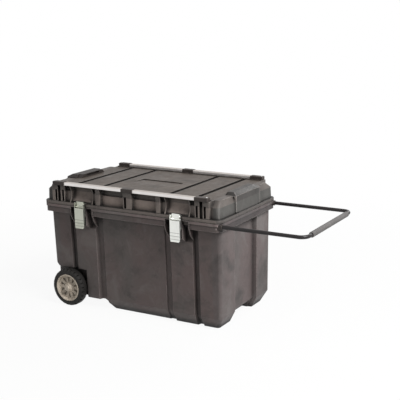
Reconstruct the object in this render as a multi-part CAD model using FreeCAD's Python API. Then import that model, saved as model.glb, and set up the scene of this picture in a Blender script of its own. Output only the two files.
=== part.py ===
import FreeCAD, Part
import math
import os

# Wheeled jobsite storage chest with a hinged lid, tie-down rails, two draw latches
# and a pull-out tube handle.  Millimetres.  +X is the handle end, -Y the latch side,
# +Z up.  The origin lies on the floor plane under the middle of the box.

V = FreeCAD.Vector
os.makedirs("parts", exist_ok=True)

# ---------------------------------------------------------------- driving dimensions
# box
rim_length = 930.0          # over the rim, along X
rim_depth = 508.0           # over the rim, along Y
parting_z = 482.0           # where the lid meets the tub
wall_t = 5.0                # foam wall of the tub
floor_t = 6.0
rim_over_end = 17.0         # how far the rim stands out past the end walls
rim_over_front = 27.0       # and past the front and rear walls
draft = 0.015               # slope of the walls
rim_radius = 26.0           # plan radius of the rim corners
wall_radius = 14.0          # plan radius of the wall corners
foot_chamfer_in = 26.0      # sloping foot all round the tub
foot_chamfer_up = 50.0
least_radius = 3.0          # smallest inside corner of the tub

# skirt that hides the handle tubes
bar_h = 15.0                # round bar at the top of the skirt
bar_proud = 3.0             # its step out past the plain band
skirt_h = 38.0
skirt_t = 4.0
deck_t = 5.0                # flat top of the skirt
edge_round = 3.0            # rounding of the bar and of the lid's flange

# panels and grooves pressed into the front and rear walls, half pattern from the middle
inner_groove = (164.0, 200.0)
outer_groove = (311.0, 342.0)
groove_depth = 15.0
groove_slope = 6.0
middle_panel_in = 9.0       # the middle panel lies this much deeper
end_recess_half = 100.0     # recess in each end wall
end_recess_depth = 20.0
end_recess_slope = 5.0
end_recess_top = 434.0

# underside
notch_half = 92.0           # finger notch between the feet at the handle end
notch_h = 40.0
notch_length = 80.0
notch_slope = 14.0
raised_z = 45.0             # underside at the wheel end
raised_from = -180.0
raised_run = 42.0           # slope down to the floor
keel_slope = 26.0

# wheels
wheel_d = 174.0
wheel_w = 45.0
wheel_x = -357.0
wheel_face = 255.0          # outer face of the wheel from the middle plane
hub_r = 63.5
axle_d = 13.0
well_gap = 3.0              # room over the tyre
well_right_x = -266.0
well_inner_y = 196.0
running_fit = 0.05
washer_t = 2.0
washer_d = 30.0
washer_gap = 0.1
cap_d = 26.0
cap_t = 6.0
spokes = 10
tread_lugs = 26
trough_half = 26.0          # open trough under the floor where the axle runs
trough_top = 108.0
trough_bevel = 12.0
web_half = 4.0              # webs across the trough that carry the axle
web_low = 16.0              # their lower edge above the raised underside
tread_crown = 14.0          # rounding at each shoulder of the tyre
tread_steps = 3
tread_groove_w = 6.4
tread_groove_depth = 6.5
bead_w = 5.0                # flat seat of the tyre beside its hub
hub_seat_gap = 0.2
hub_rim_t = 5.0
hub_dish = 12.0             # the spoked web lies this far behind the outer face
hub_web_t = 6.0
boss_r = 17.0
boss_foot_r = 24.0
boss_set = 1.0              # boss end behind the outer face
boss_shoulder = 4.0
window_in_r = 27.0          # openings between the spokes
window_in_half = 2.0
window_out_half = 8.0
window_out_gap = 15.0
cap_bevel = 2.0
cap_gap = 0.5               # running gap between the hub and its cap
cap_grip = 2.5              # the cap's bore over the axle end

# lid
lid_t = 4.5
flange_h = 14.0
lid_end_half = 455.0
lid_front_half = 240.0
lid_knee_z = 545.0          # upright wall up to here, then it slopes in
lid_top_z = 570.0
lid_top_half_x = 440.0
lid_top_half_y = 204.0
lid_lean = 2.0              # slope of the upright wall
lid_radius = 16.0
lid_top_radius = 12.0
crown_half = 86.0           # raised part in the middle of each end
crown_h = 13.0
crown_in = 407.0            # its inner foot
crown_slope = 16.0
crown_proud = 5.0
crown_bevel = 12.0          # sloping outer edge
crown_lean = 3.0            # slope of its inner side
top_groove_x = (171.5, 312.0)
top_groove_w = 8.0
top_groove_depth = 6.0
top_groove_run = 6.0        # how far the groove's floor carries past the flat top
top_groove_fall = 2.0
sunk_half_x = 111.0         # shallow ramped field in the middle of the top
sunk_rear_y = 26.0
sunk_front_y = -64.0
sunk_depth = 4.0
seal_w = 6.0
seal_h = 3.0
seal_fit = 0.2
seal_radius = 16.0
seal_in_x = 12.5            # seal's outer edge inside the rim, at the ends
seal_in_y = 19.5            # and along the front and rear
grip_width = 22.0
grip_h = 15.0
grip_pocket = 12.0
pocket_share = 0.55         # pocket's share of the grip's length
pocket_low = 2.0
pocket_top = 3.5
pocket_draft = 4.0

# rails
rail_y = 243.0
rail_w = 22.0
rail_h = 14.0
rail_top_z = 585.0
rail_half = 384.0
rail_wall = 2.2
rail_slot_w = 9.0
rail_round = 2.4
cap_from = 343.0
cap_to = 406.0
clamp_half = 30.0
clamp_shell = 2.0
clamp_fit = 0.2
clamp_bevel = 2.0
rail_end_gap = 0.5
post_front = 2.0            # posts end this far behind the rim
post_root = 8.0             # posts run this far under the sloping edge
post_spans = ((0.0, 22.0), (149.0, 171.0), (343.0, 366.0), (382.0, 413.0))
screw_in = 8.0              # screw from the cap's outer end
screw_d = 8.0
screw_h = 2.0
screw_shank_d = 3.6
screw_length = 24.0
screw_bevel = 1.0
screw_socket_r = 1.3
screw_socket_depth = 1.0

# lid front
bay_half = 58.0             # latch bay, each side of the latch
fin_t = 5.0
scoop_r = 42.0
scoop_out = 22.0            # scoop centre in front of the wall
scoop_z = 540.0
fin_hollow_r = 60.0         # shallow arc in the front edge of each fin
fin_hollow_sag = 12.0
rail_seat = 6.0             # fins are notched this deep behind the rail
panel_from = 24.0
panel_to = 147.0
panel_draft = 1.0
panel_low_z = 500.0
panel_lip_z = 541.0
panel_high_z = 562.0
panel_low_in = 4.0
panel_high_in = 13.0

# latches
latch_x = 253.0
latch_half = 24.4
sheet = 1.5
pin_d = 4.0
pin_head_d = 8.0
pin_head_t = 1.2
pivot_out = 8.0             # lever pivot in front of the rim
pivot_z = 497.0
link_drop = 14.0            # link pin below the pivot
lever_bottom_z = 390.0
lever_depth = 6.0           # face of the lever in front of the pivot
hook_top_z = 506.5
hook_half = 19.0
hook_gap = 0.4              # hook lip in front of the keeper
pad_half = 26.0
pad_low_z = 396.0
pad_ramp = 30.0             # slope under the pad
pad_bevel = 4.0
recess_below = 20.0         # wall pocket starts this far below the pad
recess_ramp = 22.0
wall_fin_low = 6.0          # fins beside the pocket, measured up from the pad
wall_fin_knee = 28.0
wall_fin_top = 54.0
wall_fin_back = 10.0
rivet_d = 6.5
rivet_h = 1.4
rivet_shank_d = 3.5
rivet_bevel = 0.9
rivet_half = 9.0
rivet_up = (16.0, 34.0)     # rivet rows above the pad's lower edge
side_gap = 0.4
ear_h = 42.0                # ears run this far down the base plate
ear_up = 5.0                # above the pivot
ear_out = 4.0               # in front of the pivot
ear_under = 8.0             # below the pivot, above the swinging link pin
ear_in = 3.0                # back from the lower corner, clear of the link pin
lever_face_drop = 4.5       # lever face starts below the link pin
lever_round = 3.0
cheek_back = 4.5            # cheeks reach behind the pivot
cheek_deep = 24.0           # down to here below the pivot
cheek_start = 8.0
lip_out = 3.5
lip_drop = 4.0
lip_in = 3.0
rib_r = 1.1
rib_count = 3
rib_pitch = 6.0
rib_up = 12.0
rib_in = 7.0
hook_round = 2.0

# rear hinges
hinge_x = 255.0
hinge_out = 11.0            # hinge axis behind the rim
knuckle_r = 9.0
hinge_pin_d = 8.0
knuckle_mid = 44.0
knuckle_side = 26.0
knuckle_gap = 0.5
knuckle_arm = 26.0          # arms run this far down the skirt
pin_head_over = 2.0         # hinge pin heads
pin_head_len = 2.0

# handle
tube_d = 16.0
tube_wall = 1.6
tube_y = 238.0
tube_z = 468.0
tube_far_x = 846.0          # middle of the far bar, pulled out
tube_inner_x = 284.0        # hidden ends, pulled out
tube_bend_r = 34.0
grip_half = 186.0
grip_d = 24.0
grip_fit = 0.1
guide_fit = 0.35
guide_from = 404.0
guide_rim = 3.0
stop_rib_t = 6.0
stop_length = 26.0
stop_gap = 0.5
channel_half_z = 9.0
channel_side = 2.0          # room beside a leg in its channel
stop_side = 1.2
stop_bevel = 1.5
guide_side = 0.8
wall_play = 0.4             # play over a leg's stop
guide_up = 1.0
guide_seat = 0.2            # bush in its pocket
collar_over = 4.0
collar_out = 4.0
collar_bevel = 1.2
grip_bevel = 2.0
handle_stroke = 340.0

# ---------------------------------------------------------------- derived places
rim_x = rim_length / 2
rim_y = rim_depth / 2
wall_x = rim_x - rim_over_end
wall_y = rim_y - rim_over_front
skirt_z = parting_z - skirt_h
flange_z = parting_z + flange_h
deck_z = parting_z - deck_t
wheel_r = wheel_d / 2
well_top = wheel_d + well_gap
front_plane = -rim_y
lip_y = front_plane - hook_gap
pivot_y = front_plane - pivot_out
link_z = pivot_z - link_drop
lever_face_y = pivot_y - lever_depth
hinge_y = rim_y + hinge_out
rail_z = rail_top_z - rail_h
post_y = rim_y - post_front
stop_rib = tube_inner_x + stop_length + stop_gap
screw_x = cap_to - screw_in
ear_inner = latch_half - 2 * sheet - side_gap
hook_inner_r = pin_d / 2 + running_fit
hook_outer_r = hook_inner_r + sheet
past = 10.0                 # how far cutting solids run past what they cut
SIDES = (-1, 1)


# ---------------------------------------------------------------- helpers
def box(x0, x1, y0, y1, z0, z1):
    return Part.makeBox(x1 - x0, y1 - y0, z1 - z0, V(x0, y0, z0))


def span(sign, near, far):
    """Ordered pair of bounds on the given side of the middle plane."""
    return (near, far) if sign > 0 else (-far, -near)


def rod(centre, axis, radius, length):
    return Part.makeCylinder(radius, length, V(*centre), V(*axis))


def face_of(points):
    return Part.Face(Part.makePolygon([V(*p) for p in points + points[:1]]))


def prism_x(yz, x0, x1):
    return face_of([(x0, y, z) for y, z in yz]).extrude(V(x1 - x0, 0, 0))


def prism_y(xz, y0, y1):
    return face_of([(x, y0, z) for x, z in xz]).extrude(V(0, y1 - y0, 0))


def rounded_wire(half_x, half_y, radius, z):
    """Rectangle with round corners at height z."""
    h = radius * (1 - math.sqrt(0.5))
    edges = []
    corners = ((1, -1), (1, 1), (-1, 1), (-1, -1))
    ends = []
    for sx, sy in corners:
        along = V(sx * (half_x - radius), sy * half_y, z)
        across = V(sx * half_x, sy * (half_y - radius), z)
        middle = V(sx * (half_x - h), sy * (half_y - h), z)
        first, last = (along, across) if sx * sy < 0 else (across, along)
        ends.append((first, middle, last))
    for i, (first, middle, last) in enumerate(ends):
        edges.append(Part.Arc(first, middle, last).toShape())
        edges.append(Part.makeLine(last, ends[(i + 1) % 4][0]))
    return Part.Wire(edges)


def slab(half_x, half_y, radius, z0, z1):
    return Part.Face(rounded_wire(half_x, half_y, radius, z0)).extrude(V(0, 0, z1 - z0))


def rounded_loft(sections):
    """Ruled solid through (half_x, half_y, radius, z) sections."""
    return Part.makeLoft([rounded_wire(*s) for s in sections], True, True)


def pair(a, b):
    """Bounds in rising order."""
    return (a, b) if a < b else (b, a)


def mirrored_y(shape):
    return shape.mirror(V(0, 0, 0), V(0, 1, 0))


def joined(shapes):
    first = shapes[0]
    return first.multiFuse(shapes[1:]).removeSplitter() if len(shapes) > 1 else first


def save(name, shape):
    shape.exportStep("parts/" + name + ".step")


# ---------------------------------------------------------------- tub
def front_profile(grow):
    """(x, depth) along half of the front wall, from the middle outwards."""
    g0, g1 = inner_groove
    o0, o1 = outer_groove
    return [
        (g0 - grow, middle_panel_in),
        (g0 + groove_slope / 2 - grow, groove_depth),
        (g1 - groove_slope + grow, groove_depth),
        (g1 + grow, 0.0),
        (o0 - grow, 0.0),
        (o0 + groove_slope - grow, groove_depth),
        (o1 - groove_slope + grow, groove_depth),
        (o1 + grow, 0.0),
    ]


def wall_wire(half_x, half_y, radius, z, grow, end_depth):
    """Plan outline of the tub wall at height z, with its grooves and end recesses."""
    right = front_profile(grow)
    front = [(-x, d) for x, d in reversed(right)] + right
    end = [
        (end_recess_half + grow, 0.0),
        (end_recess_half - end_recess_slope + grow, end_depth),
    ]
    end = [(-y, d) for y, d in end] + list(reversed(end))
    h = radius * (1 - math.sqrt(0.5))
    points = {
        "front": [V(x, -half_y + d, z) for x, d in front],
        "right": [V(half_x - d, y, z) for y, d in end],
        "rear": [V(-x, half_y - d, z) for x, d in front],
        "left": [V(-half_x + d, -y, z) for y, d in end],
    }
    corner = {
        "front": (V(half_x - radius, -half_y, z), V(half_x - h, -half_y + h, z),
                  V(half_x, -half_y + radius, z)),
        "right": (V(half_x, half_y - radius, z), V(half_x - h, half_y - h, z),
                  V(half_x - radius, half_y, z)),
        "rear": (V(-half_x + radius, half_y, z), V(-half_x + h, half_y - h, z),
                 V(-half_x, half_y - radius, z)),
        "left": (V(-half_x, -half_y + radius, z), V(-half_x + h, -half_y + h, z),
                 V(-half_x + radius, -half_y, z)),
    }
    edges = []
    last = corner["left"][2]
    for side in ("front", "right", "rear", "left"):
        for point in points[side] + [corner[side][0]]:
            edges.append(Part.makeLine(last, point))
            last = point
        edges.append(Part.Arc(*corner[side]).toShape())
        last = corner[side][2]
    return Part.Wire(edges)


def tub_envelope(inset, base_z, top_z):
    """Drafted, grooved body of the tub; inset gives its inner wall."""
    def section(z, pull, end_depth):
        fall = draft * (parting_z - z) + inset + pull
        radius = max(wall_radius - inset, least_radius)
        return wall_wire(wall_x - fall, wall_y - fall, radius, z, inset, end_depth)

    foot = foot_chamfer_in * (foot_chamfer_up - base_z) / foot_chamfer_up
    low = Part.makeLoft([section(base_z, foot, end_recess_depth),
                         section(foot_chamfer_up, 0.0, end_recess_depth),
                         section(end_recess_top, 0.0, end_recess_depth)], True, True)
    fall = draft * (parting_z - end_recess_top) + inset
    high = rounded_loft([
        (wall_x - fall, wall_y - fall, wall_radius, end_recess_top),
        (wall_x - inset, wall_y - inset, wall_radius, top_z)])
    return low.fuse(high)


def under_cuts(grow):
    """Room taken from the tub: wheel wells, raised end, axle trough and finger notch."""
    far = rim_x + past
    cuts = []
    for side in SIDES:
        y0, y1 = span(side, well_inner_y - grow, rim_y + past)
        well = [(-far, -past), (-far, well_top + foot_chamfer_in + grow),
                (-wall_x + grow, well_top + foot_chamfer_in + grow),
                (-wall_x + foot_chamfer_in + grow, well_top + grow),
                (well_right_x + grow, well_top + grow), (well_right_x + grow, -past)]
        cuts.append(prism_y(well, y0, y1))
    lean = grow * math.tan(math.atan2(raised_z, raised_run) / 2)
    raised = [(-far, -past), (-far, raised_z + keel_slope + grow),
              (-wall_x + keel_slope + grow, raised_z + grow),
              (raised_from + lean, raised_z + grow),
              (raised_from + raised_run + lean, grow),
              (raised_from + raised_run + lean, -past)]
    cuts.append(prism_y(raised, -rim_y - past, rim_y + past))
    outer = trough_half + grow
    inner = trough_half - trough_bevel
    trough = [(wheel_x - outer, -past), (wheel_x - outer, trough_top - trough_bevel),
              (wheel_x - inner, trough_top + grow), (wheel_x + inner, trough_top + grow),
              (wheel_x + outer, trough_top - trough_bevel), (wheel_x + outer, -past)]
    reach = well_inner_y if grow else well_inner_y - wall_t
    cuts.append(prism_y(trough, -reach, reach))
    outer = notch_half + grow
    inner = outer - notch_slope
    notch = [(-outer, -past), (-outer, 0.0), (-inner, notch_h + grow),
             (inner, notch_h + grow), (outer, 0.0), (outer, -past)]
    cuts.append(prism_x(notch, wall_x - notch_length - grow, far))
    return joined(cuts)


def latch_recess(x, grow):
    """Pocket in the wall behind a latch, with a sloping lower end."""
    low = pad_low_z - recess_below - grow
    depth = -wall_y + groove_depth + grow
    yz = [(-wall_y - past, low), (-wall_y, low), (depth, low + recess_ramp),
          (depth, skirt_z + grow), (-wall_y - past, skirt_z + grow)]
    return prism_x(yz, x - bay_half - grow, x + bay_half + grow)


def skirt():
    """Rim with its round bar and the band that hides the handle tubes."""
    band = slab(rim_x - bar_proud, rim_y - bar_proud, rim_radius - bar_proud, skirt_z, parting_z)
    bar = slab(rim_x, rim_y, rim_radius, parting_z - bar_h, parting_z)
    bar = bar.makeFillet(edge_round, [e for e in bar.Edges if e.BoundBox.ZLength < 0.01])
    inner = slab(rim_x - bar_proud - skirt_t, rim_y - bar_proud - skirt_t,
                 rim_radius - bar_proud - skirt_t, skirt_z - 1, deck_z)
    return band.fuse(bar).cut(inner)


def latch_mount(x):
    """Pad behind a latch and the fins either side of it."""
    back = -wall_y + groove_depth + wall_t
    pad = prism_x([(back, pad_low_z - pad_ramp), (-rim_y + pad_bevel, pad_low_z),
                   (-rim_y, pad_low_z + pad_bevel), (-rim_y, deck_z), (back, deck_z)],
                  x - pad_half, x + pad_half)
    shapes = [pad]
    for side in SIDES:
        centre = x + side * (bay_half + fin_t / 2)
        shapes.append(prism_x([(-wall_y + wall_t, pad_low_z - wall_fin_low),
                               (-rim_y + wall_fin_back, pad_low_z + wall_fin_knee - wall_fin_low),
                               (-rim_y, pad_low_z + wall_fin_top - wall_fin_low),
                               (-rim_y, deck_z), (-wall_y + wall_t, deck_z)],
                              centre - fin_t / 2, centre + fin_t / 2))
    return shapes


def tub_knuckles():
    shapes = []
    for side in SIDES:
        for half in SIDES:
            x0 = side * hinge_x + half * (knuckle_mid / 2 + knuckle_gap)
            x0, x1 = pair(x0, x0 + half * knuckle_side)
            shapes.append(rod((x0, hinge_y, parting_z), (1, 0, 0), knuckle_r, x1 - x0))
            low = parting_z - knuckle_arm
            shapes.append(prism_x([(rim_y - skirt_t, low), (rim_y, low),
                                   (hinge_y + knuckle_r * 0.6, parting_z - knuckle_r * 0.8),
                                   (hinge_y, parting_z), (rim_y - skirt_t, parting_z)], x0, x1))
    return shapes


def body_tub():
    shell = tub_envelope(0.0, 0.0, parting_z)
    recesses = [latch_recess(side * latch_x, 0.0) for side in SIDES]
    thick = [latch_recess(side * latch_x, wall_t) for side in SIDES]
    shell = shell.cut(joined([under_cuts(0.0)] + recesses))
    adds = [skirt()] + tub_knuckles()
    for side in SIDES:
        adds += latch_mount(side * latch_x)
        adds.append(box(stop_rib, stop_rib + stop_rib_t,
                        *span(side, wall_y - wall_t / 2, rim_y - skirt_t), skirt_z, deck_z))
        web_y = side * well_inner_y / 3
        adds.append(box(wheel_x - trough_half - wall_t / 2, wheel_x + trough_half + wall_t / 2,
                        web_y - web_half, web_y + web_half,
                        raised_z + web_low, trough_top + wall_t / 2))
    shell = shell.fuse(adds)
    cavity = tub_envelope(wall_t, floor_t, parting_z + past)
    cavity = cavity.cut(joined([under_cuts(wall_t)] + thick))
    cuts = [cavity]
    for side in SIDES:
        cuts += [leg_channel(side), guide_pocket(side, 0.0), hinge_bore(side * hinge_x)]
        cuts.append(rod((stop_rib - past, side * tube_y, tube_z), (1, 0, 0),
                        tube_d / 2 + guide_fit, rim_x))
        for half in SIDES:
            x0, x1 = pair(side * latch_x + half * pad_half, side * latch_x + half * bay_half)
            cuts.append(box(x0, x1, -rim_y - past, -wall_y - 0.5, skirt_z - past, deck_z))
    cuts.append(rod((wheel_x, -rim_y, wheel_r), (0, 1, 0), axle_d / 2 + running_fit, rim_depth))
    return shell.cut(cuts).removeSplitter()


def leg_channel(side):
    """Room along the skirt for a handle leg and its stop."""
    half = tube_d / 2 + channel_side
    return box(tube_inner_x - handle_stroke - stop_length, stop_rib,
               *span(side, tube_y - half, tube_y + half),
               tube_z - channel_half_z - guide_side, tube_z + channel_half_z + wall_play)


def guide_pocket(side, gap):
    """Block that holds a handle bush, or its pocket when gap is zero."""
    half = tube_d / 2 + guide_side + guide_rim - gap
    end = rim_x if gap else rim_x + past
    return box(guide_from + gap, end, *span(side, tube_y - half, tube_y + half),
               tube_z - tube_d / 2 - guide_rim + gap, tube_z + tube_d / 2 + guide_up - gap)


def hinge_bore(x):
    half = knuckle_mid / 2 + knuckle_gap + knuckle_side + past
    return rod((x - half, hinge_y, parting_z), (1, 0, 0), hinge_pin_d / 2 + running_fit, 2 * half)


# ---------------------------------------------------------------- lid
def lid_envelope(inset):
    low = parting_z - 1 if inset else parting_z
    end, front, radius = lid_end_half - inset, lid_front_half - inset, lid_radius - inset
    body = rounded_loft([
        (end, front, radius, low),
        (end - lid_lean, front - lid_lean, radius, lid_knee_z),
        (lid_top_half_x - inset, lid_top_half_y - inset, lid_top_radius - inset,
         lid_top_z - inset)])
    if inset:
        return body
    flange = slab(rim_x, rim_y, rim_radius, parting_z, flange_z)
    upper = [e for e in flange.Edges if e.BoundBox.ZMin > flange_z - 0.01]
    return flange.makeFillet(edge_round, upper).fuse(body)


def crown(side, inset):
    """Raised middle part of a lid end, standing a little proud of the end wall."""
    outer = lid_end_half + crown_proud - inset
    top = lid_top_z + crown_h - inset
    xz = [(crown_in + inset, parting_z + 4), (crown_in + inset, lid_top_z - inset),
          (crown_in + inset + crown_lean, top), (lid_top_half_x - inset, top),
          (outer, top - crown_bevel),
          (outer, parting_z + 4)]
    solid = prism_y([(side * x, z) for x, z in xz], -crown_half + inset, crown_half - inset)
    for end in SIDES:
        y = end * (crown_half - inset)
        wedge = prism_x([(y + end, top + 1), (y - end * crown_slope, top + 1),
                         (y - end * crown_slope, top), (y, top - crown_h), (y + end, top - crown_h)],
                        *span(side, crown_in - 5, outer + 5))
        solid = solid.cut(wedge)
    return solid


def scoop(x, grow):
    """Concave latch bay in the front of the lid."""
    return rod((x - bay_half - grow, -lid_front_half - scoop_out, scoop_z), (1, 0, 0),
               scoop_r + grow, 2 * (bay_half + grow))


def front_panels(grow):
    """Two-level recessed fields between the posts, front and rear."""
    cuts = []
    lower = -lid_front_half + panel_low_in + grow
    upper = -lid_front_half + panel_high_in + grow
    yz = [(-rim_y, panel_low_z - grow), (lower, panel_low_z - grow),
          (lower + panel_draft, panel_lip_z - grow), (upper, panel_lip_z - grow),
          (upper, panel_high_z), (-rim_y, panel_high_z)]
    for side in SIDES:
        field = prism_x(yz, *span(side, panel_from - grow, panel_to + grow))
        cuts += [field, mirrored_y(field)]
    return cuts


def top_grooves(grow):
    cuts = []
    for side in SIDES:
        for x in top_groove_x:
            half = top_groove_w / 2 + grow
            floor = lid_top_z - top_groove_depth - grow
            inner = lid_top_half_y - top_groove_run
            outer = lid_top_half_y + top_groove_run
            end = lid_knee_z - top_groove_depth - grow
            low = floor - top_groove_fall
            top = lid_top_z + past
            yz = [(-lid_front_half, end), (-outer, low), (-inner, floor), (inner, floor),
                  (outer, low), (lid_front_half, end), (lid_front_half, top), (-lid_front_half, top)]
            cuts.append(prism_x(yz, side * x - half, side * x + half))
    return cuts


def lid_posts():
    """Posts that carry the rails, and the fins of the latch bays."""
    shapes = []
    for near, far in post_spans:
        spans = [(-far, far)] if near == 0.0 else [span(side, near, far) for side in SIDES]
        for x0, x1 in spans:
            root = -lid_top_half_y - post_root
            yz = [(root, flange_z - 1), (-post_y, flange_z - 1), (-post_y, rail_z),
                  (-rail_y + rail_w / 2, rail_z), (root, rail_z - post_root)]
            post = prism_x(yz, x0, x1)
            shapes += [post, mirrored_y(post)]
    for side in SIDES:
        for half in SIDES:
            centre = side * latch_x + half * (bay_half + fin_t / 2)
            fin = box(centre - fin_t / 2, centre + fin_t / 2, -post_y, -lid_top_half_y - post_root,
                      flange_z - 1, rail_z)
            seat = box(centre - fin_t, centre + fin_t, -rail_y + rail_w / 2, -lid_top_half_y,
                       rail_z - rail_seat, rail_z + past)
            hollow = rod((centre - fin_t, -post_y - fin_hollow_r + fin_hollow_sag,
                          (flange_z + rail_z) / 2), (1, 0, 0), fin_hollow_r, 2 * fin_t)
            shapes.append(fin.cut([seat, hollow]))
    return shapes


def lid_knuckles():
    shapes = []
    for side in SIDES:
        x0 = side * hinge_x - knuckle_mid / 2
        shapes.append(rod((x0, hinge_y, parting_z), (1, 0, 0), knuckle_r, knuckle_mid))
        shapes.append(prism_x([(rim_y - skirt_t, parting_z), (hinge_y, parting_z),
                               (hinge_y + knuckle_r * 0.6, parting_z + knuckle_r * 0.8),
                               (rim_y - edge_round, flange_z - 1), (rim_y - skirt_t, flange_z - 1)],
                              x0, x0 + knuckle_mid))
    return shapes


def seal_ring(gap):
    outer_x = rim_x - seal_in_x + gap
    outer_y = rim_y - seal_in_y + gap
    wide = seal_w + 2 * gap
    ring = slab(outer_x, outer_y, seal_radius, parting_z, parting_z + seal_h + gap)
    return ring.cut(slab(outer_x - wide, outer_y - wide, seal_radius - seal_w,
                         parting_z - past, parting_z + past))


def lid_shell():
    outer = lid_envelope(0.0).fuse([crown(side, 0.0) for side in SIDES])
    outer = outer.cut(front_panels(0.0) + top_grooves(0.0)
                      + [scoop(side * latch_x, 0.0) for side in SIDES])
    sunk = prism_x([(sunk_front_y, lid_top_z), (sunk_rear_y, lid_top_z - sunk_depth),
                    (sunk_rear_y, lid_top_z + past), (sunk_front_y, lid_top_z + past)],
                   -sunk_half_x, sunk_half_x)
    outer = outer.cut(sunk)
    outer = outer.fuse(lid_posts() + lid_knuckles())
    inner = lid_envelope(lid_t).fuse([crown(side, lid_t) for side in SIDES])
    inner = inner.cut(front_panels(lid_t) + top_grooves(lid_t)
                      + [scoop(side * latch_x, lid_t) for side in SIDES])
    inner = inner.cut(box(-sunk_half_x - lid_t, sunk_half_x + lid_t, sunk_front_y,
                          sunk_rear_y + lid_t, lid_top_z - sunk_depth - lid_t, lid_top_z))
    rim_cut = slab(wall_x - wall_t, wall_y - wall_t, wall_radius, parting_z - 1, flange_z - lid_t)
    cuts = [inner, rim_cut, seal_ring(0.0)]
    for side in SIDES:
        cuts.append(hinge_bore(side * hinge_x))
        x0, x1 = side * latch_x - hook_half - 1, side * latch_x + hook_half + 1
        cuts.append(box(x0, x1, -rim_y - past, -rim_y + sheet, parting_z + 2, flange_z + 1))
        for y_side in SIDES:
            cuts.append(screw_bore(side, y_side))
    return outer.cut(cuts).removeSplitter()


def screw_bore(side, y_side):
    """Hole for the screw of a rail cap, through the cap and into its post."""
    low = rail_top_z - screw_length
    return rod((side * screw_x, y_side * rail_y, low), (0, 0, 1),
               screw_shank_d / 2 + running_fit, screw_length + past)


def lid_seal():
    return seal_ring(-seal_fit)


def lid_grip():
    """Dark finger grip inside the raised part at the wheel end."""
    x_out = -crown_in
    x_in = -crown_in + grip_width
    z0, z1 = lid_top_z, lid_top_z + grip_h
    half = crown_half
    profile = [(-half, z0), (-half + crown_slope, z1), (half - crown_slope, z1), (half, z0)]
    block = prism_x(profile, x_out, x_in)
    low, high = half * pocket_share, half * pocket_share - pocket_draft
    pocket = prism_x([(-low, z0 + pocket_low), (-high, z1 - pocket_top), (high, z1 - pocket_top),
                      (low, z0 + pocket_low)], x_in - grip_pocket, x_in + past)
    return block.cut(pocket)


# ---------------------------------------------------------------- rails
def rail(side):
    y = side * rail_y
    h = rail_w / 2
    outer = box(-rail_half, rail_half, y - h, y + h, rail_z, rail_top_z)
    long_edges = [e for e in outer.Edges if abs(e.BoundBox.XLength - 2 * rail_half) < 0.1]
    outer = outer.makeFillet(rail_round, long_edges)
    bore = box(-rail_half - 1, rail_half + 1, y - h + rail_wall, y + h - rail_wall,
               rail_z + rail_wall, rail_top_z - rail_wall)
    slot = box(-rail_half - 1, rail_half + 1, y - rail_slot_w / 2, y + rail_slot_w / 2,
               rail_z - 1, rail_z + rail_wall + 1)
    return outer.cut([bore, slot])


def rail_cover(x0, x1, side, closed_end):
    """Moulded cover over a rail: a sleeve in the middle, a cap at the ends."""
    y = side * rail_y
    h = rail_w / 2 + clamp_shell
    outer = box(x0, x1, y - h, y + h, rail_z, rail_top_z + clamp_shell)
    outer = outer.makeChamfer(clamp_bevel, [e for e in outer.Edges if e.BoundBox.ZMin > rail_top_z])
    half = rail_w / 2 + clamp_fit
    bore_from = -rail_half - rail_end_gap if closed_end < 0 else x0 - past
    bore_to = rail_half + rail_end_gap if closed_end > 0 else x1 + past
    cuts = [box(bore_from, bore_to, y - half, y + half, rail_z - past, rail_top_z + clamp_fit)]
    if closed_end:
        cuts.append(screw_bore(closed_end, side))
    return outer.cut(cuts)


def rail_screws():
    """Pan-head screws that hold the end caps, all alike."""
    screws = []
    top = rail_top_z + clamp_shell
    low = rail_top_z - screw_length + clamp_fit
    for side in SIDES:
        for end in SIDES:
            x, y = end * screw_x, side * rail_y
            head = rod((x, y, top), (0, 0, 1), screw_d / 2, screw_h)
            head = head.makeChamfer(screw_bevel, [e for e in head.Edges
                                                  if e.BoundBox.ZMin > top + screw_h / 2])
            shank = rod((x, y, low), (0, 0, 1), screw_shank_d / 2, top - low)
            socket = rod((x, y, top + screw_h - screw_socket_depth), (0, 0, 1),
                         screw_socket_r, screw_h)
            screws.append(head.fuse(shank).cut(socket))
    return Part.makeCompound(screws)


# ---------------------------------------------------------------- latches
def latch_base(x):
    """Base plate with two ears that stand out past the lid and carry the pivot."""
    plate_half = ear_inner - sheet
    back = front_plane - sheet
    proud = back - side_gap
    foot = parting_z - ear_h
    top = pivot_z + ear_up
    shapes = [box(x - plate_half, x + plate_half, back, front_plane, pad_low_z + cheek_start,
                  parting_z - sheet)]
    for side in SIDES:
        x0, x1 = pair(x + side * ear_inner, x + side * (ear_inner + sheet))
        shapes.append(prism_x([(front_plane, foot), (front_plane, parting_z - sheet),
                               (proud, parting_z + sheet), (proud, top),
                               (pivot_y - ear_out, top), (pivot_y - ear_out, pivot_z - ear_under),
                               (pivot_y + ear_in, pivot_z - ear_under - 1), (back - 1, foot)],
                              x0, x1))
        x0, x1 = pair(x + side * plate_half, x + side * (ear_inner + sheet))
        shapes.append(box(x0, x1, back, front_plane, foot, parting_z - sheet))
    holes = [pin_bore(x, pivot_z)]
    for dx, z in rivet_places():
        holes.append(rod((x + dx, back - past, z), (0, 1, 0), rivet_shank_d / 2 + running_fit,
                         2 * past))
    return joined(shapes).cut(holes)


def pin_bore(x, z):
    half = latch_half + past
    return rod((x - half, pivot_y, z), (1, 0, 0), pin_d / 2 + running_fit, 2 * half)


def rivet_places():
    return [(dx, pad_low_z + up) for up in rivet_up for dx in (-rivet_half, rivet_half)]


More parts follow.
